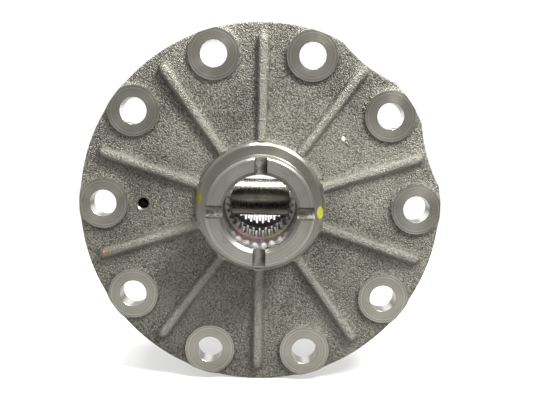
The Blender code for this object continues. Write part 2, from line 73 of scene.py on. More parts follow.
# Flange
BOSS_FACE_Y = -39.6 * MM
PLATE_Y = -37.6 * MM
PLATE_AT_HUB_Y = -38.8 * MM
GEAR_FACE_Y = -29.6 * MM
BOLT_COUNT = 10
BOLT_CIRCLE_RADIUS = 77.25 * MM
BOLT_HOLE_RADIUS = 6.55 * MM
BOSS_RADIUS = 12.3 * MM
BOSS_DRAFT = 1.6 * MM
SPOT_FACE_CUT_RADIUS = 14.8 * MM
RIM_EDGE = 1.2 * MM
SCALLOP_ANGLES = (radians(18), radians(54))
SCALLOP_RADIUS = 74.0 * MM
SCALLOP_DEPTH = 3.1 * MM
RIB_OUTER_END = 84.4 * MM
RIB_INNER_END = 27.0 * MM
RIB_CREST_Y = -41.5 * MM
RIB_BASE_WIDTH = 7.8 * MM
RIB_CREST_WIDTH = 2.8 * MM
RIB_END_ROUNDING = 2.6 * MM

# Journals, shoulders and body
JOURNAL_RADIUS = 25.4 * MM
JOURNAL_CHAMFER = 0.8 * MM
SHOULDER_Y = 42.6 * MM
SHOULDER_RADIUS = 31.4 * MM
SHOULDER_CHAMFER = 1.25 * MM
OIL_SLOT_RADIUS = 3.0 * MM
REGISTER_RADIUS = 63.5 * MM
REGISTER_END_Y = -20.0 * MM
BODY_RADIUS = 59.5 * MM
BODY_CURVE_START_Y = -6.0 * MM
BODY_CURVE_LENGTH = 65.0 * MM
BODY_CURVE_END_Y = 38.0 * MM
END_WALL_Y = 40.6 * MM
END_WALL_RADIUS = 38.0 * MM
WINDOW_HALF_WIDTH = 40.0 * MM
WINDOW_Y = (-18.0 * MM, 26.0 * MM)
WINDOW_CORNER = 9.0 * MM
SHAFT_BOSS_END = 65.5 * MM
SHAFT_BOSS_RADII = (22.0 * MM, 19.0 * MM)
BORE_RADIUS = 17.4 * MM
BORE_CHAMFER = 1.7 * MM
COUNTERBORE_RADIUS = 21.2 * MM
COUNTERBORE_END = 45.6 * MM
SIDE_SEAT_Y = 33.4 * MM
SIDE_SEAT_RADIUS = 36.2 * MM
CAVITY_RADIUS = 48.6 * MM
PINION_SEAT_SPHERE = 50.0 * MM
PINION_SEAT_RADIUS = 20.6 * MM

# Gears
SIDE_TEETH = 16
PINION_TEETH = 10
CONE_DISTANCE = 44.0 * MM
FACE_WIDTH = 15.0 * MM
PRESSURE_ANGLE = radians(22.5)
WORKING_ADDENDUM = 0.9
ADDENDUM_SHIFT = 0.3
ROOT_CLEARANCE = 0.2
TOOTH_THINNING = 0.22 * MM
SIDE_BACK = 32.0 * MM
SIDE_NOSE_RADIUS = 19.5 * MM
SIDE_HUB_RADIUS = 21.0 * MM
PINION_BACK_SPHERE = 48.5 * MM
PINION_HUB_RADIUS = 19.0 * MM
PINION_NOSE = 23.5 * MM
PINION_NOSE_RADIUS = 12.6 * MM
PINION_RIM_BACK = 41.5 * MM
PINION_BORE_RADIUS = 10.15 * MM
SPLINE_TEETH = 30
SPLINE_MAJOR_RADIUS = 16.75 * MM
SPLINE_MINOR_RADIUS = 15.35 * MM
PILOT_RADIUS = 17.6 * MM
PILOT_END_Y = 34.0 * MM
WASHER_THICKNESS = 0.9 * MM
SEAT_GAP = 0.25 * MM
SIDE_WASHER_RADII = (21.6 * MM, 31.5 * MM)
PINION_WASHER_RADII = (10.6 * MM, 18.6 * MM)
SLIP_GAP = 0.15 * MM
LOCK_PIN_HOLE_END_Y = 19.0 * MM

# Brightness of the room, where 1 is the white of the picture
FLOOR_RADIUS = 0.5
FLOOR_GLOW = 0.47
FLOOR_GLOW_IN_FRONT = 0.24
FLOOR_FADE_Y = (-250 * MM, -60 * MM)
SKY_OVERHEAD = 0.9
SKY_FRONT = 0.72
SKY_BEHIND = 0.9
BACKDROP_BRIGHTNESS = 1.05

# Marks, tints and a painted highlight
CREST_HIGHLIGHT_Y = (39.2 * MM, 40.9 * MM)
CREST_HIGHLIGHT_STRENGTH = 0.28
SHOULDER_DARKENING = 0.55
HEAT_TINT_Z = (-8 * MM, -14 * MM)
HEAT_TINT_Y = (-56 * MM, -50 * MM)
HEAT_TINT_RADIUS = (18.3 * MM, 17.9 * MM)
HEAT_TINT_STRENGTH = 0.7

# Camera
CAMERA_LENS = 47.04
CAMERA_SENSOR = 36.0
CAMERA_PLACE = (0.63 * MM, -379.8 * MM, 45.5 * MM)
CAMERA_YAW = radians(0.414)
CAMERA_PITCH = radians(7.095)
CAMERA_ROLL = radians(1.282)

# Fineness of the meshes
CAST_VOXEL = 0.75 * MM
CAST_ALLOWANCE = 1.6 * MM
RIM_ALLOWANCE = 0.7 * MM
SMOOTHING_PASSES = 6
# The sand grain, the waves and the swells of the casting's skin, each as its size and its height
SKIN_WAVES = ((1.9 * MM, 0.08 * MM), (9.0 * MM, 0.10 * MM), (26.0 * MM, 0.28 * MM))
CASE_SHARP_ANGLE = radians(38)
ROUND_STEPS = 192
SMALL_STEPS = 64
ARC_STEPS = 5
OVERRUN = 4.0 * MM

# Turned shapes are drawn about local Z, which these turn to the world axis named
TO_PLUS_Y = Matrix.Rotation(radians(-90), 4, "X")
TO_MINUS_Y = Matrix.Rotation(radians(90), 4, "X")
TO_PLUS_X = Matrix.Rotation(radians(90), 4, "Y")
TO_MINUS_X = Matrix.Rotation(radians(-90), 4, "Y")


# ---------------------------------------------------------------- mesh helpers


def add_object(name, mesh, *materials):
    obj = bpy.data.objects.new(name, mesh)
    bpy.context.scene.collection.objects.link(obj)
    for material in materials:
        mesh.materials.append(material)
    return obj


def mesh_from(name, builder, matrix=None):
    """A mesh filled by builder, a function that adds bodies to a bmesh, placed by matrix."""
    work = bmesh.new()
    builder(work)
    if matrix is not None:
        bmesh.ops.transform(work, matrix=matrix, verts=work.verts)
    bmesh.ops.recalc_face_normals(work, faces=work.faces)
    mesh = bpy.data.meshes.new(name)
    work.to_mesh(mesh)
    work.free()
    return mesh


def rounded(corners):
    """The (radius, height) points of a closed outline whose (radius, height, fillet) corners are rounded."""
    points = []
    count = len(corners)
    for i, (x, y, fillet) in enumerate(corners):
        if fillet <= 0:
            points.append((x, y))
            continue
        here = Vector((x, y))
        before = Vector(corners[i - 1][:2]) - here
        after = Vector(corners[(i + 1) % count][:2]) - here
        half = before.angle(after) / 2
        reach = min(fillet / tan(half), 0.49 * before.length, 0.49 * after.length)
        radius = reach * tan(half)
        centre = here + (before.normalized() + after.normalized()).normalized() * radius / sin(half)
        start = here + before.normalized() * reach - centre
        turn = start.angle_signed(here + after.normalized() * reach - centre)
        for step in range(ARC_STEPS + 1):
            spoke = start.copy()
            spoke.rotate(Matrix.Rotation(-turn * step / ARC_STEPS, 2))
            points.append(tuple(centre + spoke))
    return points


def add_turned(work, outline, steps):
    """A closed (radius, height) outline turned about Z. Points on the axis become one vertex each."""
    rings = []
    for radius, height in outline:
        if radius < 1e-7:
            rings.append([work.verts.new((0, 0, height))] * steps)
            continue
        spokes = [2 * pi * i / steps for i in range(steps)]
        rings.append([work.verts.new((radius * cos(a), radius * sin(a), height)) for a in spokes])
    for ring, following in zip(rings, rings[1:] + rings[:1]):
        for i in range(steps):
            j = (i + 1) % steps
            corners = []
            for vert in (ring[i], ring[j], following[j], following[i]):
                if vert not in corners:
                    corners.append(vert)
            if len(corners) > 2:
                work.faces.new(corners)


def turned(name, corners, matrix, *materials, steps=ROUND_STEPS):
    outline = rounded(corners)
    mesh = mesh_from(name, lambda work: add_turned(work, outline, steps), matrix)
    return add_object(name, mesh, *materials)


def add_cylinder(work, radius, start, end, steps, end_radius=None):
    along = end - start
    place = Matrix.Translation((start + end) / 2) @ along.to_track_quat("Z", "Y").to_matrix().to_4x4()
    last = radius if end_radius is None else end_radius
    bmesh.ops.create_cone(
        work, cap_ends=True, segments=steps, radius1=radius, radius2=last, depth=along.length, matrix=place
    )


def round_off(work, edges, radius, steps):
    """Rounds these edges of a bmesh."""
    bmesh.ops.bevel(
        work, geom=edges, offset=radius, offset_type="OFFSET", segments=steps, profile=0.5, affect="EDGES"
    )


def apply_modifiers(obj):
    """Replaces an object's mesh with its evaluated one."""
    bpy.context.view_layer.update()
    graph = bpy.context.evaluated_depsgraph_get()
    mesh = bpy.data.meshes.new_from_object(obj.evaluated_get(graph))
    obj.modifiers.clear()
    obj.data = mesh
    return obj


def combine(obj, other, operation):
    """Joins or cuts obj with other, which is used up. A cut face takes the cutter's material."""
    boolean = obj.modifiers.new("combine", "BOOLEAN")
    boolean.object = other
    boolean.operation = operation
    boolean.solver = "MANIFOLD"
    boolean.material_mode = "TRANSFER"
    apply_modifiers(obj)
    bpy.data.objects.remove(other)
    return obj


def shade(obj, angle=radians(30)):
    obj.data.shade_smooth()
    obj.data.set_sharp_from_angle(angle=angle)
    return obj


def around_axle(angle, radius, height):
    """The point at an angle from +X towards +Z, at a radius from the axle axis and a height along Y."""
    return Vector((radius * cos(angle), height, radius * sin(angle)))


def boss_angles():
    return [i * 2 * pi / BOLT_COUNT for i in range(BOLT_COUNT)]


def rib_angles():
    return [angle + pi / BOLT_COUNT for angle in boss_angles()]


def arc_points(sphere_radius, first_radius, last_radius, step=radians(3)):
    """Corners on a sphere about the origin, from one distance off the axis to another."""
    first, last = asin(first_radius / sphere_radius), asin(last_radius / sphere_radius)
    count = max(2, round(abs(last - first) / step))
    angles = [first + (last - first) * i / count for i in range(count + 1)]
    return [(sphere_radius * sin(angle), sphere_radius * cos(angle), 0) for angle in angles]


# ---------------------------------------------------------------- materials


# Turns a highlight from along the tangent to across it, as grooves along the tangent do
QUARTER_TURN = 0.25


class Nodes:
    """A material's node tree, with short calls for the nodes used here."""

    def __init__(self, name, roughness, metallic):
        self.material = bpy.data.materials.new(name)
        self.material.use_nodes = True
        self.tree = self.material.node_tree
        self.shader = self.tree.nodes["Principled BSDF"]
        self.shader.inputs["Roughness"].default_value = roughness
        self.shader.inputs["Metallic"].default_value = metallic
        self.place = self.add("ShaderNodeTexCoord").outputs["Object"]

    def add(self, kind, **settings):
        node = self.tree.nodes.new(kind)
        for key, value in settings.items():
            setattr(node, key, value)
        return node

    def feed(self, socket, value):
        if isinstance(value, bpy.types.NodeSocket):
            self.tree.links.new(value, socket)
        elif value is not None:
            socket.default_value = value

    def axes(self):
        """The X, Y and Z of the place shaded."""
        node = self.add("ShaderNodeSeparateXYZ")
        self.feed(node.inputs[0], self.place)
        return node.outputs

    def noise(self, scale, detail=3.0, roughness=0.55, vector=None, distortion=0.0):
        node = self.add("ShaderNodeTexNoise")
        self.feed(node.inputs["Vector"], vector or self.place)
        self.feed(node.inputs["Scale"], scale)
        self.feed(node.inputs["Detail"], detail)
        self.feed(node.inputs["Roughness"], roughness)
        self.feed(node.inputs["Distortion"], distortion)
        return node.outputs["Fac"]

    def cells(self, scale, vector=None):
        node = self.add("ShaderNodeTexVoronoi", feature="SMOOTH_F1")
        self.feed(node.inputs["Vector"], vector or self.place)
        self.feed(node.inputs["Scale"], scale)
        return node.outputs["Distance"]

    def math(self, operation, a, b=None, c=None, clamp=False):
        node = self.add("ShaderNodeMath", operation=operation, use_clamp=clamp)
        for socket, value in zip(node.inputs, (a, b, c)):
            self.feed(socket, value)
        return node.outputs[0]

    def vector(self, operation, a, b=None, output=0):
        node = self.add("ShaderNodeVectorMath", operation=operation)
        self.feed(node.inputs[0], a)
        self.feed(node.inputs[1], b)
        return node.outputs[output]

    def ramp(self, value, low, high, to_low=0.0, to_high=1.0):
        node = self.add("ShaderNodeMapRange", interpolation_type="SMOOTHSTEP")
        for name, given in (
            ("Value", value),
            ("From Min", low),
            ("From Max", high),
            ("To Min", to_low),
            ("To Max", to_high),
        ):
            self.feed(node.inputs[name], given)
        return node.outputs["Result"]

    def mix(self, factor, a, b, blend="MIX"):
        node = self.add("ShaderNodeMix", data_type="RGBA", blend_type=blend)
        self.feed(node.inputs[0], factor)
        for socket, value in ((node.inputs[6], a), (node.inputs[7], b)):
            self.feed(socket, (*value, 1.0) if isinstance(value, tuple) else value)
        return node.outputs[2]

    def bump(self, height, distance, strength=1.0, normal=None):
        node = self.add("ShaderNodeBump")
        self.feed(node.inputs["Height"], height)
        self.feed(node.inputs["Distance"], distance)
        self.feed(node.inputs["Strength"], strength)
        self.feed(node.inputs["Normal"], normal)
        return node.outputs["Normal"]

    def finish(self, colour=None, roughness=None, normal=None, tangent=None):
        self.feed(self.shader.inputs["Base Color"], colour)
        self.feed(self.shader.inputs["Roughness"], roughness)
        self.feed(self.shader.inputs["Normal"], normal)
        self.feed(self.shader.inputs["Tangent"], tangent)
        return self.material


def spot(nodes, centre, radius, edge):
    """1 inside a ragged dab about a point, 0 outside it."""
    offset = nodes.vector("SUBTRACT", nodes.place, tuple(centre))
    distance = nodes.vector("LENGTH", offset, output=1)
    ragged = nodes.math("MULTIPLY_ADD", nodes.noise(600.0), radius, distance)
    return nodes.ramp(ragged, radius * 1.5, radius * 1.5 - edge)


def cast_iron_material():
    """Shot-blasted casting: a tight grain of pits, a painted highlight on the ribs' crests, and a few paint
    marks.
    """
    nodes = Nodes("cast_iron", 0.5, 0.85)
    grain = nodes.cells(1250.0)
    fine = nodes.noise(2000.0, detail=3.0, roughness=0.6)
    patches = nodes.noise(24.0, detail=3.0)
    height = nodes.math("MULTIPLY_ADD", grain, -0.7, fine)
    tone = nodes.math("MULTIPLY_ADD", patches, 0.8, height)
    colour = nodes.mix(nodes.ramp(tone, 0.2, 1.1), (0.036, 0.035, 0.029), (0.215, 0.21, 0.182))
    axes = nodes.axes()
    # Painted highlight: the ribs' crests, at these heights along the axle, are lightened towards a paler grey
    # in place of the light they catch.
    crest = nodes.ramp(nodes.math("ABSOLUTE", axes["Y"]), *CREST_HIGHLIGHT_Y)
    colour = nodes.mix(nodes.math("MULTIPLY", crest, CREST_HIGHLIGHT_STRENGTH), colour, (0.29, 0.285, 0.25))
    white_dots = [
        (around_axle(radians(40.5), 52.5 * MM, -38.3 * MM), 1.1 * MM),
        (around_axle(radians(49.5), 45.5 * MM, -41.2 * MM), 0.9 * MM),
    ]
    for centre, radius in white_dots:
        colour = nodes.mix(spot(nodes, centre, radius, 0.3 * MM), colour, (0.75, 0.74, 0.70))
    rust_dots = [
        (around_axle(radians(20), 27.0 * MM, -42.6 * MM), 0.9 * MM),
        (around_axle(radians(197.5), 80.0 * MM, -41.2 * MM), 1.8 * MM),
    ]
    for centre, radius in rust_dots:
        colour = nodes.mix(spot(nodes, centre, radius, 0.8 * MM), colour, (0.20, 0.12, 0.075))
    roughness = nodes.ramp(fine, 0.2, 0.8, 0.36, 0.56)
    return nodes.finish(colour, roughness, nodes.bump(height, 0.65 * MM, 1.0))


def slot_material():
    """Milled oil slots, rough and oily dark."""
    nodes = Nodes("milled_slot", 0.4, 0.9)
    fine = nodes.noise(1400.0, detail=3.0)
    patches = nodes.noise(260.0, detail=3.0)
    colour = nodes.mix(nodes.ramp(patches, 0.3, 0.7), (0.06, 0.058, 0.05), (0.17, 0.165, 0.145))
    return nodes.finish(colour, nodes.ramp(fine, 0.3, 0.7, 0.3, 0.5), nodes.bump(fine, 0.45 * MM, 1.0))


def yellow_dabs(nodes, colour):
    """The two inspection marks in yellow paint on the shoulder's edge, each taller than it is wide."""
    dabs = [
        (around_axle(radians(172), 30.3 * MM, -42.2 * MM), 2.1 * MM, (0.26, 0.25, 0.04)),
        (around_axle(radians(-4), 29.6 * MM, -42.4 * MM), 2.1 * MM, (0.62, 0.63, 0.08)),
    ]
    for centre, radius, paint in dabs:
        offset = nodes.vector("SUBTRACT", nodes.place, tuple(centre))
        offset = nodes.vector("MULTIPLY", offset, (1.0, 0.6, 0.5))
        distance = nodes.vector("LENGTH", offset, output=1)
        ragged = nodes.math("MULTIPLY_ADD", nodes.noise(700.0), 0.8 * MM, distance)
        colour = nodes.mix(nodes.ramp(ragged, radius, radius - 0.3 * MM), colour, paint)
    return colour


def turned_steel_look(nodes, radius_from_axis, light, dark, pitch):
    """Colour, roughness and height of a lathe-turned face, by distance from the axis of its turning."""
    rings = nodes.add("ShaderNodeTexNoise", noise_dimensions="1D")
    nodes.feed(rings.inputs["W"], nodes.math("DIVIDE", radius_from_axis, pitch))
    nodes.feed(rings.inputs["Scale"], 1.0)
    nodes.feed(rings.inputs["Detail"], 4.0)
    nodes.feed(rings.inputs["Roughness"], 0.7)
    groove = rings.outputs["Fac"]
    stain = nodes.noise(70.0, detail=4.0)
    tone = nodes.math("MULTIPLY_ADD", stain, 0.35, nodes.math("MULTIPLY", groove, 0.75))
    colour = nodes.mix(nodes.ramp(tone, 0.3, 0.8), dark, light)
    roughness = nodes.ramp(stain, 0.25, 0.75, 0.26, 0.36)
    return colour, roughness, groove


def axle_radius(nodes):
    """Distance from the Y axis."""
    flat = nodes.vector("MULTIPLY", nodes.place, (1.0, 0.0, 1.0))
    return nodes.vector("LENGTH", flat, output=1)


def turned_material():
    """Faces turned about the axle axis: journals, shoulders, ring-gear face and register."""
    nodes = Nodes("turned_iron", 0.3, 1.0)
    nodes.shader.inputs["Anisotropic"].default_value = 0.5
    nodes.shader.inputs["Anisotropic Rotation"].default_value = QUARTER_TURN
    radius = axle_radius(nodes)
    colour, roughness, groove = turned_steel_look(
        nodes, radius, (0.30, 0.295, 0.265), (0.19, 0.186, 0.165), 0.7 * MM
    )
    shoulder = nodes.ramp(radius, 25.3 * MM, 25.9 * MM)
    colour = nodes.mix(nodes.math("MULTIPLY", shoulder, SHOULDER_DARKENING), colour, (0.15, 0.142, 0.115))
    tangent = nodes.add("ShaderNodeTangent", direction_type="RADIAL", axis="Y").outputs[0]
    colour = yellow_dabs(nodes, colour)
    return nodes.finish(colour, roughness, nodes.bump(groove, 0.04 * MM, 0.7), tangent)


def spot_face_material():
    """Spot faces, whose turning marks run round each bolt hole."""
    nodes = Nodes("spot_faced_iron", 0.3, 1.0)
    nodes.shader.inputs["Anisotropic"].default_value = 0.5
    nodes.shader.inputs["Anisotropic Rotation"].default_value = QUARTER_TURN
    axes = nodes.axes()
    angle = nodes.math("ARCTAN2", axes["Z"], axes["X"])
    sector = 2 * pi / BOLT_COUNT
    centre_angle = nodes.math("MULTIPLY", nodes.math("ROUND", nodes.math("DIVIDE", angle, sector)), sector)
    centre = nodes.add("ShaderNodeCombineXYZ")
    for axis, share in (("X", "COSINE"), ("Z", "SINE")):
        across = nodes.math("MULTIPLY", nodes.math(share, centre_angle), BOLT_CIRCLE_RADIUS)
        nodes.feed(centre.inputs[axis], across)
    flat = nodes.vector("MULTIPLY", nodes.place, (1.0, 0.0, 1.0))
    spoke = nodes.vector("SUBTRACT", flat, centre.outputs[0])
    radius = nodes.vector("LENGTH", spoke, output=1)
    colour, roughness, groove = turned_steel_look(
        nodes, radius, (0.275, 0.27, 0.237), (0.15, 0.146, 0.125), 0.8 * MM
    )
    tangent = nodes.vector("CROSS_PRODUCT", (0.0, 1.0, 0.0), spoke)
    tangent = nodes.vector("NORMALIZE", tangent)
    return nodes.finish(colour, roughness, nodes.bump(groove, 0.05 * MM, 0.8), tangent)


def heat_tint(nodes, colour, radius, along, low):
    """Straw, violet and blue bands low in the bore, where the axle shaft has run hot against it."""
    low_down = nodes.ramp(low, *HEAT_TINT_Z)
    in_bore = nodes.ramp(radius, *HEAT_TINT_RADIUS)
    deep = nodes.ramp(along, *HEAT_TINT_Y)
    band = nodes.noise(120.0, detail=2.0, distortion=1.5)
    tint = nodes.add("ShaderNodeValToRGB")
    nodes.feed(tint.inputs[0], band)
    stops = tint.color_ramp.elements
    stops[0].position, stops[0].color = 0.34, (0.30, 0.46, 0.26, 1)
    stops[1].position, stops[1].color = 0.64, (0.24, 0.40, 0.56, 1)
    stops.new(0.44).color = (0.56, 0.30, 0.42, 1)
    stops.new(0.54).color = (0.52, 0.50, 0.26, 1)
    strength = nodes.math("MULTIPLY", low_down, in_bore)
    strength = nodes.math("MULTIPLY", strength, nodes.math("MULTIPLY", deep, HEAT_TINT_STRENGTH))
    return nodes.mix(strength, colour, tint.outputs[0])


def bored_material(name, light, dark):
    """Bored and drilled walls, whose marks run round them, with heat tints low in the axle bore."""
    nodes = Nodes(name, 0.25, 1.0)
    axes = nodes.axes()
    colour, roughness, groove = turned_steel_look(nodes, axes["Y"], light, dark, 0.6 * MM)
    colour = heat_tint(nodes, colour, axle_radius(nodes), axes["Y"], axes["Z"])
    return nodes.finish(colour, roughness, nodes.bump(groove, 0.03 * MM, 0.6))


def spline_material():
    """Broached spline teeth, dark with oil and dry in patches."""
    nodes = Nodes("broached_steel", 0.5, 0.9)
    fine = nodes.noise(900.0, detail=3.0)
    patches = nodes.noise(420.0, detail=4.0)
    colour = nodes.mix(nodes.ramp(patches, 0.35, 0.65), (0.10, 0.098, 0.086), (0.31, 0.305, 0.28))
    return nodes.finish(colour, nodes.ramp(fine, 0.3, 0.7, 0.36, 0.52), nodes.bump(fine, 0.08 * MM, 0.8))


def gear_steel_material():
    """Forged and case-hardened gear steel with a fine blasted grain and oily darker patches."""
    nodes = Nodes("gear_steel", 0.34, 1.0)
    fine = nodes.noise(1500.0, detail=3.0)
    patches = nodes.noise(90.0, detail=4.0)
    colour = nodes.mix(nodes.ramp(patches, 0.3, 0.7), (0.17, 0.165, 0.15), (0.31, 0.305, 0.28))
    roughness = nodes.ramp(fine, 0.3, 0.7, 0.26, 0.40)
    return nodes.finish(colour, roughness, nodes.bump(fine, 0.05 * MM, 0.6))


def ground_steel_material(name, light, dark, axis):
    """Ground or turned steel whose fine marks run round one axis."""
    nodes = Nodes(name, 0.2, 1.0)
    stretch = [120.0, 120.0, 120.0]
    stretch[axis] = 2600.0
    lay = nodes.vector("MULTIPLY", nodes.place, tuple(stretch))
    marks = nodes.noise(1.0, detail=3.0, vector=lay)
    stain = nodes.noise(110.0, detail=4.0)
    colour = nodes.mix(nodes.ramp(stain, 0.3, 0.7), dark, light)
    roughness = nodes.ramp(marks, 0.3, 0.7, 0.16, 0.30)
    return nodes.finish(colour, roughness, nodes.bump(marks, 0.002 * MM, 0.4))


CAST = cast_iron_material()
MILLED = slot_material()
TURNED = turned_material()
SPOT_FACED = spot_face_material()
BORED = bored_material("bored_iron", (0.30, 0.29, 0.26), (0.15, 0.145, 0.125))
PILOT = bored_material("pilot_bore_steel", (0.24, 0.235, 0.21), (0.14, 0.135, 0.12))
BROACHED = spline_material()
GEAR_STEEL = gear_steel_material()
SHAFT_STEEL = ground_steel_material("shaft_steel", (0.19, 0.175, 0.15), (0.12, 0.112, 0.095), 0)
PIN_STEEL = ground_steel_material("pin_steel", (0.14, 0.135, 0.13), (0.07, 0.07, 0.065), 1)
WASHER_STEEL = ground_steel_material("washer_steel", (0.50, 0.48, 0.42), (0.34, 0.33, 0.30), 1)


# ---------------------------------------------------------------- the case


def cast_corners():
    """The casting before it is machined: every surface that will be cut stands proud by an allowance."""
    more = CAST_ALLOWANCE
    journal = JOURNAL_RADIUS + more
    end = JOURNAL_END + more
    shoulder = SHOULDER_Y + more
    curve_points = 14
    curve_step = (BODY_CURVE_END_Y - BODY_CURVE_START_Y) / curve_points
    curve = []
    for i in range(curve_points + 1):
        y = BODY_CURVE_END_Y - i * curve_step
        radius = BODY_RADIUS * sqrt(1 - ((y - BODY_CURVE_START_Y) / BODY_CURVE_LENGTH) ** 2)
        curve.append((radius, y, 0))
    rim = FLANGE_RADIUS + RIM_ALLOWANCE
    return [
        (0, end, 0),
        (journal, end, 0),
        (journal, shoulder, 0),
        (SHOULDER_RADIUS, shoulder, 0),
        (SHOULDER_RADIUS, END_WALL_Y, 2.0 * MM),
        (END_WALL_RADIUS, END_WALL_Y, 2.5 * MM),
        *curve,
        (BODY_RADIUS, REGISTER_END_Y, 3.5 * MM),
        (REGISTER_RADIUS + more, REGISTER_END_Y + 0.5 * MM, 1.5 * MM),
        (REGISTER_RADIUS + more, GEAR_FACE_Y + more, 0),
        (rim, GEAR_FACE_Y + more, 0),
        (rim, PLATE_Y, 0.8 * MM),
        (SHOULDER_RADIUS, PLATE_AT_HUB_Y, 2.4 * MM),
        (SHOULDER_RADIUS, -shoulder, 0),
        (journal, -shoulder, 0),
        (journal, -end, 0),
        (0, -end, 0),
    ]


def add_cast_bosses(work):
    for angle in boss_angles():
        start = around_axle(angle, BOLT_CIRCLE_RADIUS, GEAR_FACE_Y - OVERRUN)
        end = around_axle(angle, BOLT_CIRCLE_RADIUS, BOSS_FACE_Y - CAST_ALLOWANCE)
        depth = start.y - end.y
        slope = BOSS_DRAFT / (PLATE_Y - BOSS_FACE_Y)
        top = BOSS_RADIUS - CAST_ALLOWANCE * slope
        add_cylinder(work, top + depth * slope, start, end, SMALL_STEPS, top)


def add_rib(work, angle):
    """A rib with sloping flanks and a sloping outer end, along the radius at this angle."""
    root_y = PLATE_Y + OVERRUN / 2
    spread = (RIB_BASE_WIDTH - RIB_CREST_WIDTH) / 2
    deeper = (root_y - RIB_CREST_Y) / (PLATE_Y - RIB_CREST_Y)
    middle = (RIB_OUTER_END + RIB_INNER_END) / 2
    half_length = (RIB_OUTER_END - RIB_INNER_END) / 2
    made = bmesh.ops.create_cube(work, size=1.0)["verts"]
    for vert in made:
        crest = vert.co.y < 0
        grown = -spread if crest else spread * (deeper - 1)
        vert.co.x = middle + (half_length + grown if vert.co.x > 0 else -half_length)
        width = RIB_BASE_WIDTH / 2 + grown
        vert.co.z = width if vert.co.z > 0 else -width
        vert.co.y = RIB_CREST_Y if crest else root_y
    others = set(work.verts) - set(made)
    corners = [
        edge
        for edge in {edge for vert in made for edge in vert.link_edges}
        if edge.verts[0].co.x > middle and edge.verts[1].co.x > middle
        and edge.verts[0].co.y * edge.verts[1].co.y > 0
        and abs(edge.verts[0].co.y - edge.verts[1].co.y) > OVERRUN / 4
    ]
    round_off(work, corners, RIB_END_ROUNDING, 4)
    rib = [vert for vert in work.verts if vert not in others]
    bmesh.ops.transform(work, matrix=Matrix.Rotation(-angle, 4, "Y"), verts=rib)


def add_ribs(work):
    for angle in rib_angles():
        add_rib(work, angle)


def add_shaft_bosses(work):
    inner_radius, end_radius = SHAFT_BOSS_RADII
    for side in (-1, 1):
        start = Vector((side * CAVITY_RADIUS * 0.9, 0, 0))
        end = Vector((side * (SHAFT_BOSS_END + CAST_ALLOWANCE), 0, 0))
        add_cylinder(work, inner_radius, start, end, SMALL_STEPS, end_radius)


def add_window(work):
    low, high = WINDOW_Y
    made = bmesh.ops.create_cube(work, size=1.0)["verts"]
    for vert in made:
        vert.co.x *= 2 * WINDOW_HALF_WIDTH
        vert.co.y = high if vert.co.y > 0 else low
        vert.co.z *= 3 * BODY_RADIUS
    edges = [edge for edge in work.edges if abs(edge.verts[0].co.z - edge.verts[1].co.z) > BODY_RADIUS]
    round_off(work, edges, WINDOW_CORNER, 8)


def add_scallop(work, angle):
    distance = FLANGE_RADIUS - SCALLOP_DEPTH + SCALLOP_RADIUS
    start = around_axle(angle, distance, BOSS_FACE_Y - OVERRUN)
    end = around_axle(angle, distance, GEAR_FACE_Y + OVERRUN)
    add_cylinder(work, SCALLOP_RADIUS, start, end, ROUND_STEPS)


def rim_trim_corners():
    """A ring that takes off whatever stands out past the rim before the casting's edges are rounded."""
    rim = FLANGE_RADIUS + RIM_ALLOWANCE
    far = FLANGE_RADIUS + 3 * OVERRUN
    top, bottom = GEAR_FACE_Y + OVERRUN, BOSS_FACE_Y - OVERRUN
    return [(far, top, 0), (far, bottom, 0), (rim, bottom, 0), (rim, top, 0)]


def cavity_corners():
    """The cored hollow of the casting, between the two side-gear seats."""
    seat = SIDE_SEAT_Y - CAST_ALLOWANCE / 2
    half = [(0, seat, 0)] + arc_points(CAVITY_RADIUS, sqrt(CAVITY_RADIUS**2 - seat**2), CAVITY_RADIUS)
    return half + [(radius, -height, 0) for radius, height, _ in reversed(half[:-1])]


def roughen(obj):
    """Moves a casting's skin in and out by its sand grain and by slow waves in its faces."""
    mesh = obj.data
    count = len(mesh.vertices)
    points = np.empty(count * 3, np.float32)
    mesh.vertices.foreach_get("co", points)
    normals = np.empty(count * 3, np.float32)
    mesh.vertices.foreach_get("normal", normals)
    points, normals = points.reshape(-1, 3), normals.reshape(-1, 3)
    depth = np.zeros(count)
    for size, height in SKIN_WAVES:
        depth = depth + height * np.array([noise.noise(Vector(p) / size) for p in points])
    moved = points + normals * depth[:, None]
    mesh.vertices.foreach_set("co", moved.astype(np.float32).ravel())
    mesh.update()


def form_casting():
    case = turned("case_casting", cast_corners(), TO_PLUS_Y, CAST)
    grown = (("bosses", add_cast_bosses), ("ribs", add_ribs), ("shaft_bosses", add_shaft_bosses))
    for name, builder in grown:
        combine(case, add_object(name, mesh_from(name, builder), CAST), "UNION")
    combine(case, turned("rim_trim", rim_trim_corners(), TO_PLUS_Y, CAST), "DIFFERENCE")
    combine(case, turned("cavity", cavity_corners(), TO_PLUS_Y, CAST), "DIFFERENCE")
    combine(case, add_object("window", mesh_from("window", add_window), CAST), "DIFFERENCE")
    for angle in SCALLOP_ANGLES:
        cutter = add_object("scallop", mesh_from("scallop", lambda work: add_scallop(work, angle)), CAST)
        combine(case, cutter, "DIFFERENCE")
    remesh = case.modifiers.new("grain_size", "REMESH")
    remesh.mode = "VOXEL"
    remesh.voxel_size = CAST_VOXEL
    smooth = case.modifiers.new("round_edges", "SMOOTH")
    smooth.iterations = SMOOTHING_PASSES
    smooth.factor = 0.5
    apply_modifiers(case)
    roughen(case)
    return case


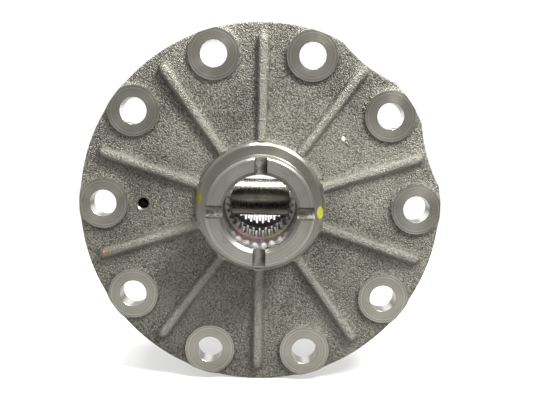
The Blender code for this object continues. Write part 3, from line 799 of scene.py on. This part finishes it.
def end_turning_corners():
    """What the lathe takes off one end of the case, round its journal and shoulder."""
    far_out = SHOULDER_RADIUS + 0.9 * MM
    end = JOURNAL_END
    edge = 0.15 * MM
    return [
        (0, end, 0),
        (JOURNAL_RADIUS - JOURNAL_CHAMFER, end, edge),
        (JOURNAL_RADIUS, end - JOURNAL_CHAMFER, edge),
        (JOURNAL_RADIUS, SHOULDER_Y, 0.5 * MM),
        (SHOULDER_RADIUS - SHOULDER_CHAMFER, SHOULDER_Y, edge),
        (SHOULDER_RADIUS, SHOULDER_Y - SHOULDER_CHAMFER, edge),
        (far_out, SHOULDER_Y - SHOULDER_CHAMFER, 0),
        (far_out, end + OVERRUN, 0),
        (0, end + OVERRUN, 0),
    ]


def flange_turning_corners():
    """What the lathe takes off behind the flange: the ring-gear face, the register and the rim's corner."""
    chamfer = 1.2 * MM
    rim = FLANGE_RADIUS - 0.03 * MM
    far_out = FLANGE_RADIUS + 2 * OVERRUN
    step_y = REGISTER_END_Y + 0.3 * MM
    return [
        (REGISTER_RADIUS, GEAR_FACE_Y, 0.4 * MM),
        (rim - RIM_EDGE, GEAR_FACE_Y, 0.2 * MM),
        (rim, GEAR_FACE_Y - RIM_EDGE, 0.2 * MM),
        (rim, BOSS_FACE_Y - OVERRUN, 0),
        (far_out, BOSS_FACE_Y - OVERRUN, 0),
        (far_out, step_y + 2 * OVERRUN, 0),
        (REGISTER_RADIUS - chamfer, step_y + 2 * OVERRUN, 0),
        (REGISTER_RADIUS - chamfer, step_y, 0),
        (REGISTER_RADIUS, step_y - chamfer, 0.2 * MM),
    ]


def bore_corners():
    """The bored mouth, side-gear counterbore and seat at one end."""
    mouth = JOURNAL_END + OVERRUN
    edge = 0.15 * MM
    return [
        (0, mouth, 0),
        (BORE_RADIUS + BORE_CHAMFER + OVERRUN, mouth, 0),
        (BORE_RADIUS, JOURNAL_END - BORE_CHAMFER, edge),
        (BORE_RADIUS, COUNTERBORE_END, edge),
        (COUNTERBORE_RADIUS, COUNTERBORE_END, edge),
        (COUNTERBORE_RADIUS, SIDE_SEAT_Y, edge),
        (SIDE_SEAT_RADIUS, SIDE_SEAT_Y, 0.4 * MM),
        (SIDE_SEAT_RADIUS - OVERRUN, SIDE_SEAT_Y - OVERRUN, 0),
        (0, SIDE_SEAT_Y - OVERRUN, 0),
    ]


def hole_corners(radius, chamfer, low, high):
    """A drilled hole along an axis with both mouths chamfered, for faces at the two heights."""
    over = OVERRUN
    return [
        (0, high + over, 0),
        (radius + chamfer + over, high + over, 0),
        (radius, high - chamfer, 0),
        (radius, low + chamfer, 0),
        (radius + chamfer + over, low - over, 0),
        (0, low - over, 0),
    ]


def seat_corners():
    profile = arc_points(PINION_SEAT_SPHERE, 0.0, PINION_SEAT_RADIUS)
    inside = CAVITY_RADIUS - 3 * OVERRUN
    return profile + [(PINION_SEAT_RADIUS, inside, 0), (0, inside, 0)]


def add_spot_faces(work):
    for angle in boss_angles():
        start = around_axle(angle, BOLT_CIRCLE_RADIUS, BOSS_FACE_Y)
        end = around_axle(angle, BOLT_CIRCLE_RADIUS, BOSS_FACE_Y - OVERRUN)
        add_cylinder(work, SPOT_FACE_CUT_RADIUS, start, end, SMALL_STEPS)


def add_oil_slots(work):
    for end in (-JOURNAL_END, JOURNAL_END):
        for quarter in range(4):
            angle = quarter * pi / 2
            start = around_axle(angle, BORE_RADIUS - OVERRUN, end)
            stop = around_axle(angle, JOURNAL_RADIUS + OVERRUN, end)
            add_cylinder(work, OIL_SLOT_RADIUS, start, stop, SMALL_STEPS)


def add_boss_faces(work):
    """Blocks that face the ends of the two cross-shaft bosses."""
    for side in (-1, 1):
        start = Vector((side * SHAFT_BOSS_END, 0, 0))
        end = Vector((side * (SHAFT_BOSS_END + OVERRUN), 0, 0))
        add_cylinder(work, SHAFT_BOSS_RADII[0], start, end, SMALL_STEPS)


def machine_casting(case):
    """Cuts every machined face into the casting. Each cut leaves its own finish."""
    small = SMALL_STEPS
    cutters = [
        turned("near_turning", end_turning_corners(), TO_MINUS_Y, TURNED),
        turned("far_turning", end_turning_corners(), TO_PLUS_Y, TURNED),
        turned("flange_turning", flange_turning_corners(), TO_PLUS_Y, TURNED),
        turned("near_bore", bore_corners(), TO_MINUS_Y, BORED),
        turned("far_bore", bore_corners(), TO_PLUS_Y, BORED),
        turned(
            "shaft_bore",
            hole_corners(SHAFT_RADIUS + SLIP_GAP, 0.8 * MM, -SHAFT_BOSS_END, SHAFT_BOSS_END),
            TO_PLUS_X,
            BORED,
        ),
        turned("left_seat", seat_corners(), TO_MINUS_X, TURNED),
        turned("right_seat", seat_corners(), TO_PLUS_X, TURNED),
        add_object("spot_faces", mesh_from("spot_faces", add_spot_faces), SPOT_FACED),
        add_object("boss_faces", mesh_from("boss_faces", add_boss_faces), TURNED),
        add_object("oil_slots", mesh_from("oil_slots", add_oil_slots), MILLED),
    ]
    for angle in boss_angles():
        place = Matrix.Translation(around_axle(angle, BOLT_CIRCLE_RADIUS, 0)) @ TO_PLUS_Y
        corners = hole_corners(BOLT_HOLE_RADIUS, 0.15 * MM, BOSS_FACE_Y, GEAR_FACE_Y)
        cutters.append(turned("bolt_hole", corners, place, BORED, steps=small))
    place = Matrix.Translation((LOCK_PIN_X, 0, 0)) @ TO_PLUS_Y
    corners = hole_corners(LOCK_PIN_RADIUS + SLIP_GAP, 0.5 * MM, PLATE_Y - 0.3 * MM, LOCK_PIN_HOLE_END_Y)
    cutters.append(turned("lock_pin_hole", corners, place, BORED, steps=small))
    for cutter in cutters:
        combine(case, cutter, "DIFFERENCE")
    return shade(case, CASE_SHARP_ANGLE)


def make_case():
    case = machine_casting(form_casting())
    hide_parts("differential_case")
    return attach(case, "case")


# ---------------------------------------------------------------- gears


def involute(angle):
    return tan(angle) - angle


class BevelTeeth:
    """Tooth sizes of one bevel gear of a pair whose axes cross at a right angle at the apex.

    Tooth shapes are involutes on the back cone, where a distance rho from the back cone's own apex stands for
    a radius of the equivalent spur gear.
    """

    def __init__(self, teeth, mating_teeth, shift):
        self.teeth = teeth
        self.cone = atan2(teeth, mating_teeth)
        self.module = 2 * CONE_DISTANCE * sin(self.cone) / teeth
        self.pitch_rho = CONE_DISTANCE * tan(self.cone)
        self.base_rho = self.pitch_rho * cos(PRESSURE_ANGLE)
        self.tip_rho = self.pitch_rho + (WORKING_ADDENDUM + shift) * self.module
        self.root_rho = self.pitch_rho - (WORKING_ADDENDUM - shift + ROOT_CLEARANCE) * self.module
        thickness = (pi / 2 + 2 * shift * tan(PRESSURE_ANGLE)) * self.module - TOOTH_THINNING
        self.half_angle = thickness / (2 * self.pitch_rho) + involute(PRESSURE_ANGLE)

    def flank_angle(self, rho):
        """Half the tooth's angle about the gear's axis at this distance up the back cone."""
        pressure = acos(min(1.0, self.base_rho / rho))
        return (self.half_angle - involute(pressure)) / cos(self.cone)

    def point(self, rho, angle, scale=1.0):
        radius = rho * cos(self.cone) * scale
        height = (CONE_DISTANCE / cos(self.cone) - rho * sin(self.cone)) * scale
        return Vector((radius * cos(angle), radius * sin(angle), height))

    def rho_at_height(self, height):
        return (CONE_DISTANCE / cos(self.cone) - height) / sin(self.cone)

    def outline(self):
        """(rho, angle) points round all the teeth, with filleted roots and slightly rounded tips."""
        pitch = 2 * pi / self.teeth
        fillet = 0.20 * self.module
        start = max(self.root_rho + fillet, self.base_rho)
        flank_points = 9
        tip_round = 0.05 * self.module
        rising = []
        foot = self.flank_angle(start)
        gap = (pitch / 2 - foot) * 0.55
        for i in range(4):
            turn = i / 4 * pi / 2
            rho = self.root_rho + (start - self.root_rho) * (1 - cos(turn))
            rising.append((rho, -(foot + gap * (1 - sin(turn)))))
        for i in range(flank_points):
            rho = start + (self.tip_rho - tip_round - start) * i / (flank_points - 1)
            rising.append((rho, -self.flank_angle(rho)))
        tip_angle = self.flank_angle(self.tip_rho)
        rising.append((self.tip_rho, -tip_angle + tip_round / (self.tip_rho * cos(self.cone))))
        falling = [(rho, -angle) for rho, angle in reversed(rising)]
        return [(rho, angle + i * pitch) for i in range(self.teeth) for rho, angle in rising + falling]


def add_toothed_rim(work, gear, back_height):
    """The toothed part of a bevel gear, with its outer and inner ends slightly rounded over."""
    inner_scale = (CONE_DISTANCE - FACE_WIDTH) / CONE_DISTANCE
    rim_rho = gear.rho_at_height(back_height)
    outline = gear.outline()
    edge = 0.35 * MM / CONE_DISTANCE
    lowered = 0.25 * MM

    def ring(scale, drop=0.0, flat=False):
        rho_of = (lambda rho: rim_rho) if flat else (lambda rho: rho - drop)
        return [work.verts.new(gear.point(rho_of(rho), angle, scale)) for rho, angle in outline]

    rings = [
        ring(1.0, flat=True),
        ring(1.0, lowered),
        ring(1.0 - edge),
        ring(inner_scale + edge),
        ring(inner_scale, lowered),
        ring(inner_scale, flat=True),
    ]
    count = len(outline)
    for upper, lower in zip(rings, rings[1:]):
        for i in range(count):
            j = (i + 1) % count
            work.faces.new((upper[i], lower[i], lower[j], upper[j]))
    work.faces.new(rings[0])
    work.faces.new(reversed(rings[-1]))


def spline_outline():
    """The hole of an internal spline: rounded spaces at the major radius between short teeth."""
    pitch = 2 * pi / SPLINE_TEETH
    middle = (SPLINE_MAJOR_RADIUS + SPLINE_MINOR_RADIUS) / 2
    corners = [
        (SPLINE_MINOR_RADIUS, -0.375),
        (SPLINE_MINOR_RADIUS + 0.10 * MM, -0.345),
        (middle, -0.245),
        (SPLINE_MAJOR_RADIUS - 0.18 * MM, -0.170),
        (SPLINE_MAJOR_RADIUS, -0.085),
    ]
    corners += [(radius, -share) for radius, share in reversed(corners)]
    return [(radius, (share + i) * pitch) for i in range(SPLINE_TEETH) for radius, share in corners]


def add_spline_cut(work):
    low, high = SIDE_NOSE - OVERRUN, SIDE_HUB_END + OVERRUN
    outline = spline_outline()
    lower, upper = (
        [work.verts.new((radius * cos(angle), radius * sin(angle), height)) for radius, angle in outline]
        for height in (low, high)
    )
    count = len(outline)
    for i in range(count):
        j = (i + 1) % count
        work.faces.new((lower[i], lower[j], upper[j], upper[i]))
    work.faces.new(reversed(lower))
    work.faces.new(upper)


def pilot_corners():
    """The plain pilot bore from the hub's end down to the start of the spline."""
    edge = 0.2 * MM
    mouth = SIDE_HUB_END + OVERRUN
    wide = PILOT_RADIUS + OVERRUN + edge
    return [
        (0, mouth, 0),
        (wide, mouth, 0),
        (PILOT_RADIUS, SIDE_HUB_END - edge, 0),
        (PILOT_RADIUS, PILOT_END_Y, 0.3 * MM),
        (SPLINE_MINOR_RADIUS, PILOT_END_Y, 0),
        (SPLINE_MINOR_RADIUS - edge, PILOT_END_Y - edge, 0),
        (0, PILOT_END_Y - edge, 0),
    ]


def side_hub_corners():
    edge = 0.3 * MM
    chamfer = 0.8 * MM
    return [
        (0, SIDE_HUB_END, 0),
        (SIDE_HUB_RADIUS - chamfer, SIDE_HUB_END, edge),
        (SIDE_HUB_RADIUS, SIDE_HUB_END - chamfer, edge),
        (SIDE_HUB_RADIUS, SIDE_BACK - 7 * MM, 0),
        (SIDE_NOSE_RADIUS + 3 * MM, SIDE_NOSE + 7.5 * MM, 0),
        (SIDE_NOSE_RADIUS, SIDE_NOSE, 0.8 * MM),
        (0, SIDE_NOSE, 0),
    ]


def pinion_hub_corners():
    back = arc_points(PINION_BACK_SPHERE, 0.0, PINION_HUB_RADIUS)
    return back + [
        (PINION_HUB_RADIUS, PINION_RIM_BACK - 2.5 * MM, 0),
        (PINION_NOSE_RADIUS + 0.4 * MM, PINION_NOSE + 4 * MM, 0),
        (PINION_NOSE_RADIUS, PINION_NOSE, 0.5 * MM),
        (0, PINION_NOSE, 0),
    ]


def make_gear(name, teeth, back, hub_corners, hole_cutters, hole_material, matrix, node, body):
    """A bevel gear: its toothed rim joined to its hub, then its hole cut."""
    rim = mesh_from(name, lambda work: add_toothed_rim(work, teeth, back))
    gear = add_object(name, rim, GEAR_STEEL)
    combine(gear, turned("hub", hub_corners, None, GEAR_STEEL), "UNION")
    for cutter in hole_cutters(hole_material):
        combine(gear, cutter, "DIFFERENCE")
    gear.data.transform(matrix)
    shade(gear)
    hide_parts(node)
    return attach(gear, body)


def spline_cutters(material):
    return [
        add_object("spline", mesh_from("spline", add_spline_cut), material),
        turned("pilot", pilot_corners(), None, PILOT),
    ]


def pinion_bore_cutters(material):
    corners = hole_corners(PINION_BORE_RADIUS, 0.6 * MM, PINION_NOSE, PINION_BACK_SPHERE - 1.1 * MM)
    return [turned("pinion_bore", corners, None, material)]


def make_gears():
    side = BevelTeeth(SIDE_TEETH, PINION_TEETH, -ADDENDUM_SHIFT)
    pinion = BevelTeeth(PINION_TEETH, SIDE_TEETH, ADDENDUM_SHIFT)
    # The two splines are broached alike. The far gear's spline takes the lighter gear steel as a painted
    # highlight for the light that comes through its bore from behind.
    side_gears = (("flange_side_gear", TO_MINUS_Y, BROACHED), ("far_side_gear", TO_PLUS_Y, GEAR_STEEL))
    for node, matrix, material in side_gears:
        make_gear(
            f"{node}_steel",
            side,
            SIDE_BACK,
            side_hub_corners(),
            spline_cutters,
            material,
            matrix,
            node,
            node,
        )
    for side_name, matrix in (("left", TO_MINUS_X), ("right", TO_PLUS_X)):
        make_gear(
            f"{side_name}_pinion_steel",
            pinion,
            PINION_RIM_BACK,
            pinion_hub_corners(),
            pinion_bore_cutters,
            GEAR_STEEL,
            matrix,
            f"{side_name}_pinion_gear",
            f"{side_name}_pinion",
        )


# ---------------------------------------------------------------- shaft, pin and washers


def place_on_case(obj, node):
    shade(obj)
    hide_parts(node)
    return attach(obj, "case")


def make_cross_shaft():
    edge = 0.3 * MM
    chamfer = 1.0 * MM
    half = [
        (0, SHAFT_HALF_LENGTH, 0),
        (SHAFT_RADIUS - chamfer, SHAFT_HALF_LENGTH, edge),
        (SHAFT_RADIUS, SHAFT_HALF_LENGTH - chamfer, edge),
    ]
    corners = half + [(radius, -height, fillet) for radius, height, fillet in reversed(half)]
    shaft = turned("cross_shaft_steel", corners, TO_PLUS_X, SHAFT_STEEL)
    place = Matrix.Translation((LOCK_PIN_X, 0, 0)) @ TO_PLUS_Y
    hole = hole_corners(LOCK_PIN_RADIUS + SLIP_GAP, 0.3 * MM, -SHAFT_RADIUS, SHAFT_RADIUS)
    combine(shaft, turned("pin_hole", hole, place, SHAFT_STEEL, steps=SMALL_STEPS), "DIFFERENCE")
    return place_on_case(shaft, "cross_shaft")


def make_lock_pin():
    edge = 0.2 * MM
    chamfer = 0.5 * MM
    half = [
        (0, LOCK_PIN_HALF_LENGTH, 0),
        (LOCK_PIN_RADIUS - chamfer, LOCK_PIN_HALF_LENGTH, edge),
        (LOCK_PIN_RADIUS, LOCK_PIN_HALF_LENGTH - chamfer, edge),
    ]
    corners = half + [(radius, -height, fillet) for radius, height, fillet in reversed(half)]
    place = Matrix.Translation((LOCK_PIN_X, 0, 0)) @ TO_PLUS_Y
    pin = turned("lock_pin_steel", corners, place, PIN_STEEL, steps=SMALL_STEPS)
    return place_on_case(pin, "cross_shaft_lock_pin")


def make_washers():
    edge = 0.15 * MM
    inner, outer = SIDE_WASHER_RADII
    top = SIDE_SEAT_Y - SEAT_GAP
    bottom = top - WASHER_THICKNESS
    flat = [(inner, top, edge), (outer, top, edge), (outer, bottom, edge), (inner, bottom, edge)]
    washers = (("flange_side_thrust_washer", TO_MINUS_Y), ("far_side_thrust_washer", TO_PLUS_Y))
    for node, matrix in washers:
        place_on_case(turned(f"{node}_steel", flat, matrix, WASHER_STEEL), node)
    inner, outer = PINION_WASHER_RADII
    sphere = PINION_SEAT_SPHERE - SEAT_GAP
    dished = arc_points(sphere, inner, outer) + arc_points(sphere - WASHER_THICKNESS, outer, inner)
    washers = (("left_pinion_thrust_washer", TO_MINUS_X), ("right_pinion_thrust_washer", TO_PLUS_X))
    for node, matrix in washers:
        place_on_case(turned(f"{node}_steel", dished, matrix, WASHER_STEEL), node)


# ---------------------------------------------------------------- stage, lights and camera


def make_floor():
    """A plain white floor under the flange's rim, bright enough to lose itself in the background."""
    nodes = Nodes("white_floor", 0.9, 0.0)
    tone = nodes.ramp(nodes.noise(3.0), 0.3, 0.7)
    nodes.shader.inputs["Emission Color"].default_value = (1.0, 1.0, 0.99, 1.0)
    axes = nodes.axes()
    glow = nodes.ramp(axes["Y"], *FLOOR_FADE_Y, FLOOR_GLOW_IN_FRONT, FLOOR_GLOW)
    nodes.feed(nodes.shader.inputs["Emission Strength"], glow)
    floor_material = nodes.finish(nodes.mix(tone, (0.23, 0.23, 0.228), (0.25, 0.25, 0.248)))
    corners = [(0, 0, 0), (FLOOR_RADIUS, 0, 0), (FLOOR_RADIUS, -4 * MM, 0), (0, -4 * MM, 0)]
    floor = turned("floor", corners, Matrix.Translation((0, 0, -FLANGE_RADIUS)), floor_material)


def add_area_light(name, place, target, size, power, colour=(1.0, 1.0, 1.0)):
    light = bpy.data.lights.new(name, "AREA")
    light.shape = "DISK"
    light.size = size
    light.energy = power
    light.color = colour
    obj = bpy.data.objects.new(name, light)
    bpy.context.scene.collection.objects.link(obj)
    obj.location = place
    obj.rotation_euler = (Vector(target) - Vector(place)).to_track_quat("-Z", "Y").to_euler()


def make_world():
    """A white room: pale behind the object and overhead, dimmer at the horizon in front of it."""
    world = bpy.data.worlds.new("studio")
    bpy.context.scene.world = world
    world.use_nodes = True
    tree = world.node_tree
    background = tree.nodes["Background"]
    background.inputs["Color"].default_value = (1.0, 1.0, 0.99, 1.0)

    def ranged(value, low, high, to_low, to_high):
        node = tree.nodes.new("ShaderNodeMapRange")
        node.interpolation_type = "SMOOTHSTEP"
        tree.links.new(value, node.inputs["Value"])
        for name, given in (("From Min", low), ("From Max", high), ("To Min", to_low), ("To Max", to_high)):
            node.inputs[name].default_value = given
        return node.outputs["Result"]

    direction = tree.nodes.new("ShaderNodeSeparateXYZ")
    tree.links.new(tree.nodes.new("ShaderNodeTexCoord").outputs["Generated"], direction.inputs[0])
    overhead = ranged(direction.outputs["Z"], 0.0, 0.8, 0.0, SKY_OVERHEAD)
    behind = ranged(direction.outputs["Y"], -0.1, 0.8, SKY_FRONT, SKY_BEHIND)
    total = tree.nodes.new("ShaderNodeMath")
    tree.links.new(overhead, total.inputs[0])
    tree.links.new(behind, total.inputs[1])
    seen = tree.nodes.new("ShaderNodeMix")
    tree.links.new(tree.nodes.new("ShaderNodeLightPath").outputs["Is Camera Ray"], seen.inputs["Factor"])
    tree.links.new(total.outputs[0], seen.inputs["A"])
    seen.inputs["B"].default_value = BACKDROP_BRIGHTNESS
    tree.links.new(seen.outputs["Result"], background.inputs["Strength"])


def make_lights():
    make_world()
    add_area_light("key", (0.34, -0.38, 0.56), (0, -0.03, 0), 0.22, 16.0, (1.0, 0.99, 0.96))
    add_area_light("top", (0.0, 0.02, 0.75), (0, 0, 0), 0.30, 13.0)
    add_area_light("behind_the_bore", (0, 0.9, 0.10), (0, 0, 0), 0.34, 1.1)


def make_camera():
    """A camera nearly on the axle axis and a little above it."""
    camera = bpy.data.cameras.new("camera")
    camera.sensor_width = CAMERA_SENSOR
    camera.lens = CAMERA_LENS
    camera.clip_start = 0.01
    obj = bpy.data.objects.new("camera", camera)
    bpy.context.scene.collection.objects.link(obj)
    yaw, pitch, roll = CAMERA_YAW, CAMERA_PITCH, CAMERA_ROLL
    forward = Vector((sin(yaw) * cos(pitch), cos(yaw) * cos(pitch), -sin(pitch)))
    level = Vector((cos(yaw), -sin(yaw), 0))
    upright = level.cross(forward)
    right = level * cos(roll) + upright * sin(roll)
    up = upright * cos(roll) - level * sin(roll)
    turn = Matrix((right, up, -forward)).transposed().to_4x4()
    obj.matrix_world = Matrix.Translation(CAMERA_PLACE) @ turn
    bpy.context.scene.camera = obj


bpy.context.scene.view_settings.view_transform = "Standard"
make_camera()
make_floor()
make_lights()
make_case()
make_gears()
make_cross_shaft()
make_lock_pin()
make_washers()
bpy.context.view_layer.update()
